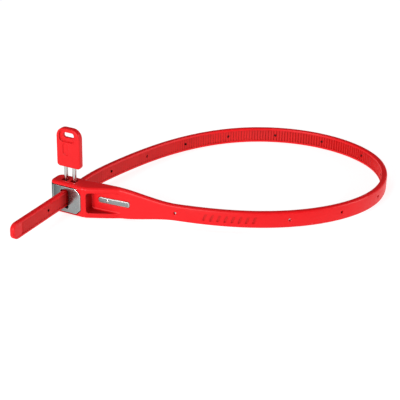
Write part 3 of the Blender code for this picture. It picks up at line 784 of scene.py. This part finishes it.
def build_head():
    head = head_shape()
    plate_seat = prism("plate_seat", plate_outline(0.2), HEAD_LOW.y - 1, HEAD_LOW.y + SHEET, "Y")
    left, right, bottom, top = BACK_SLOT
    entry = block("entry", (left, CASE_HIGH.y, bottom), (right, HEAD_BACK + 1, top))
    pill_seat = prism("pill_seat", pill_outline(0.12), -HALF - 1, -CORE_THICKNESS / 2 - 0.1, "Y")
    cut(head, pocket_cutter())
    cut(head, lock_recess(), plate_seat)
    cut(head, entry)
    cut(head, *[keyhole_cutter(pin.x, pin.y) for pin in PIN_CENTRES])
    cut(head, turn_to_neck(pill_seat))
    soften(head, HEAD_VOXEL, 4)
    trim_neck(head)
    cut(head, hole_cutters("neck_holes", HEAD_RIGHT, NECK_CUT))
    head.data.shade_smooth()
    head.data.set_sharp_from_angle(angle=math.radians(50))
    give(head, RED, MID_SHADE, SHADED)
    darken_pocket(head)
    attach(head, "lock_body")
    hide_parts("head_jacket")


def plate_cutters():
    """The cuts across the sheet's right corners, and its slot, whose sides are painted near-black as shade.
    """
    bm = bmesh.new()
    front, back = HEAD_LOW.y - 1, HEAD_LOW.y + SHEET + 0.5
    right, leg = FACE_HIGH.x, PLATE_CHAMFER
    for z, way in ((FACE_LOW.z, 1), (FACE_HIGH.z, -1)):
        corner = [(right - leg, z), (right + 0.01, z + way * (leg + 0.01)), (right + 2, z + way * leg),
                  (right + 2, z - way * 2), (right - leg, z - way * 2)]
        add_prism(bm, corner, front, back, "Y")
    corners = len(bm.faces)
    left, right, bottom, top = FACE_SLOT
    slot = rounded_outline((left, bottom), (right, top), (FACE_SLOT_CORNER,) * 4, 6)
    add_prism(bm, slot, front, back, "Y")
    bm.faces.ensure_lookup_table()
    # The slot's sides are painted as shade
    for slot_face in bm.faces[corners:]:
        slot_face.material_index = 1
    return mesh_object("plate_cuts", bm)


def build_face():
    """The polished sheet over the lock, wrapped round the head's rounded end."""
    front = (HEAD_LOW.x + END_RADIUS, HEAD_LOW.y + END_RADIUS)
    back = (front[0], HEAD_BACK - END_RADIUS)
    inner = END_RADIUS - SHEET
    outline = [(FACE_HIGH.x, HEAD_LOW.y)] + arc(front, END_RADIUS, 270, 180, 20)
    outline += arc(back, END_RADIUS, 180, 150, 6) + arc(back, inner, 150, 180, 6)
    outline += arc(front, inner, 180, 270, 20) + [(FACE_HIGH.x, HEAD_LOW.y + SHEET)]
    face = prism("steel_plate", outline, FACE_LOW.z, FACE_HIGH.z)
    give(face, SHEET_STEEL, SLOT_SHADE)
    cut(face, plate_cutters())
    bevel(face, 0.3, 3, 35)
    # The sheet's right-hand bevels get a painted highlight in brighter steel
    brighten_edges(face, PIN_STEEL, BRIGHT_FROM)
    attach(face, "lock_body")
    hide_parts("steel_face")


def build_pill():
    """The long steel plate in the neck's floor, with a small spot weld near its round end."""
    pill = prism("anchor_plate", pill_outline(0), -HALF - 0.05, -CORE_THICKNESS / 2 - 0.15, "Y")
    give(pill, POLISHED)
    bevel(pill, 0.32, 3, 35)
    # The pill's bevels get the painted highlight
    brighten_edges(pill, PILL_RIM_HIGHLIGHT)
    bm = bmesh.new()
    spot = Vector(((PILL[0] - PILL[1]) / 2 + WELD_AT, -HALF - 0.02, 0))
    out = Vector((0, -1, 0))
    add_loft(bm, [circle(spot + out * lift, out, radius) for lift, radius in WELD_DOME])
    weld = mesh_object("spot_weld", bm, PIN_STEEL, 60)
    for piece in (pill, weld):
        turn_to_neck(piece)
        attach(piece, "lock_body")
    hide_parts("core_anchor")


# ---------------------------------------------------------------- key

def build_bow():
    """The key's grip: a dished ring slot at the top and a plain thumb dimple on each face."""
    middle = (BOW_LOW + BOW_HIGH) / 2
    bow = prism(
        "key_grip", rounded_outline((BOW_LOW.x, BOW_LOW.z), (BOW_HIGH.x, BOW_HIGH.z), BOW_CORNERS, 16),
        BOW_LOW.y, BOW_HIGH.y, "Y",
    )
    bevel(bow, BOW_EDGE, 4, 60)
    slot_z = BOW_HIGH.z - RING_SLOT_DROP
    half = (RING_SLOT[0] / 2, RING_SLOT[1] / 2)
    slot = rounded_outline(
        (middle.x - half[0], slot_z - half[1]), (middle.x + half[0], slot_z + half[1]), RING_SLOT_CORNERS, 8
    )
    cut(bow, prism("ring_slot", slot, BOW_LOW.y - 1, BOW_HIGH.y + 1, "Y"))
    left, right, bottom, top = DISH
    dish = rounded_outline(
        (middle.x + left, slot_z + bottom), (middle.x + right, slot_z + top), DISH_CORNERS, 8
    )
    left, right, top = DIMPLE
    above_pins = PINS[0][1].z + 0.5
    dimple = rounded_outline(
        (middle.x + left, above_pins), (middle.x + right, middle.z + top), (DIMPLE_CORNER,) * 4, 8
    )
    for side, face in ((-1, BOW_LOW.y), (1, BOW_HIGH.y)):
        for name, shape, depth in (("dish", dish, DISH_DEPTH), ("dimple", dimple, DIMPLE_DEPTH)):
            near, far = sorted((face - side * depth, face + side))
            cut(bow, prism(name, shape, near, far, "Y"))
    cut(bow, *[pin_bore(pin) for pin in PIN_CENTRES])
    soften(bow, KEY_VOXEL, 3)
    give(bow, KEY_RED)
    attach(bow, "key")
    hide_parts("key_bow")


def pin_bore(pin):
    bm = bmesh.new()
    up = Vector((0, 0, 1))
    ends = [Vector((pin.x, pin.y, z)) for z in (BOW_LOW.z - 1, PINS[0][1].z + 0.1)]
    add_loft(bm, [circle(end, up, PIN_RADIUS + 0.12) for end in ends])
    return mesh_object("bore", bm)


def build_pins():
    """Ground steel pins, with a longer chamfer at their lower ends."""
    up = Vector((0, 0, 1))
    point, edge = 0.3, 0.2
    for side, pin, (low, high) in zip(("left", "right"), PIN_CENTRES, PINS):
        profile = (
            (low.z, PIN_RADIUS - point), (low.z + point, PIN_RADIUS), (low.z + 0.5, PIN_RADIUS),
            (high.z - 0.4, PIN_RADIUS), (high.z - edge, PIN_RADIUS), (high.z, PIN_RADIUS - edge),
        )
        rings = [circle(Vector((pin.x, pin.y, z)), up, radius, 40) for z, radius in profile]
        piece = loft(f"pin_{side}", rings, PIN_STEEL)
        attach(piece, "key")
        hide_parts(f"key_pin_{side}")


# ---------------------------------------------------------------- lock

def coil(name, start, end, radius, wire, turns):
    """A spring's wire as a mesh, between two points on a line along X or Z."""
    start, end = Vector(start), Vector(end)
    turn = (end - start).to_track_quat("Z", "Y")
    length = (end - start).length
    steps = 24 * turns
    points = []
    for i in range(steps + 1):
        angle = 2 * math.pi * turns * i / steps
        rise = wire + (length - 2 * wire) * i / steps
        points.append(start + turn @ Vector((radius * math.cos(angle), radius * math.sin(angle), rise)))
    rings = []
    for i, point in enumerate(points):
        along = (points[min(i + 1, steps)] - points[max(i - 1, 0)]).normalized()
        rings.append(circle(point, along, wire, 10))
    return loft(name, rings, SPRING, 60)


def build_springs():
    for side in ("lower", "upper"):
        low, high = box_mm(f"pawl_spring_{side}")
        middle = (low + high) / 2
        start, end = (low.x, middle.y, middle.z), (high.x, middle.y, middle.z)
        spring = coil(f"spring_{side}", start, end, *PAWL_SPRING)
        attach(spring, "lock_body")
        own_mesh(spring)
        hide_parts(f"pawl_spring_{side}")
    low, high = box_mm("plunger_spring")
    middle = (low + high) / 2
    start = (middle.x, middle.y, low.z)
    spring = coil("return_spring", start, (middle.x, middle.y, high.z), *RETURN_SPRING)
    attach(spring, "lock_body")
    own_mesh(spring)
    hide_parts("plunger_spring")


def finish_lock():
    # Painted shade: the hidden lock parts get a dark steel
    for node in ("lock_case", "case_cover", "cover_rivet_lower", "cover_rivet_upper",
                 "pawl_lower", "pawl_upper", "release_plunger"):
        give(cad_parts[node], LOCK_SHADE_STEEL)


# ---------------------------------------------------------------- floor, light and camera

def build_floor():
    """A pale table. The strap rests on the head's long edge and on the far side of the loop."""
    far_y = max(LINE[:, 1]) + HALF
    tilt = math.atan2(STRAP_Z - STRAP_WIDTH / 2, far_y - HEAD_BACK)
    bm = bmesh.new()
    bmesh.ops.create_circle(bm, cap_ends=True, radius=FLOOR_RADIUS, segments=96)
    floor = mesh_object("floor", bm)
    floor.location = (0, HEAD_BACK * MM, -FLOOR_GAP * MM)
    floor.rotation_euler = Euler((tilt, 0, 0))
    material, tree, shader = new_material("table_white", FLOOR_WHITE, 0.8)
    vary_colour(tree, shader, noise(tree, 4, 2), FLOOR_WHITE, FLOOR_SHADE)
    shader.inputs["Specular IOR Level"].default_value = 0.1
    shader.inputs["Emission Color"].default_value = (1, 1, 1, 1)
    shader.inputs["Emission Strength"].default_value = FLOOR_GLOW
    give(floor, material)


def area_light(name, at, size, watts):
    data = bpy.data.lights.new(name, "AREA")
    data.energy = watts
    data.shape = "RECTANGLE"
    data.size, data.size_y = size
    light = bpy.data.objects.new(name, data)
    light.location = at
    aim = Vector(LIGHTS_AIM) - Vector(at)
    light.rotation_euler = aim.to_track_quat("-Z", "Y").to_euler()
    bpy.context.scene.collection.objects.link(light)


def build_light():
    world = bpy.data.worlds.new("studio")
    world.use_nodes = True
    background = world.node_tree.nodes["Background"]
    background.inputs["Color"].default_value = (1, 1, 1, 1)
    background.inputs["Strength"].default_value = WORLD_LIGHT
    bpy.context.scene.world = world
    for name, (at, size, watts) in LIGHTS.items():
        area_light(name, at, size, watts)


def build_camera():
    data = bpy.data.cameras.new("camera")
    data.lens = CAMERA_LENS
    data.clip_start = 0.01
    data.clip_end = 20
    camera = bpy.data.objects.new("camera", data)
    at, aim = Vector(CAMERA_AT) * MM, Vector(CAMERA_LOOKS_AT) * MM
    look = (aim - at).to_track_quat("-Z", "Y")
    roll = Quaternion((0, 0, 1), math.radians(CAMERA_ROLL))
    camera.location = at
    camera.rotation_euler = (look @ roll).to_euler()
    bpy.context.scene.collection.objects.link(camera)
    bpy.context.scene.camera = camera


build_camera()
build_strap()
build_core()
build_head()
build_face()
build_pill()
build_bow()
build_pins()
build_springs()
finish_lock()
build_floor()
build_light()
bpy.context.scene.view_settings.view_transform = "Standard"
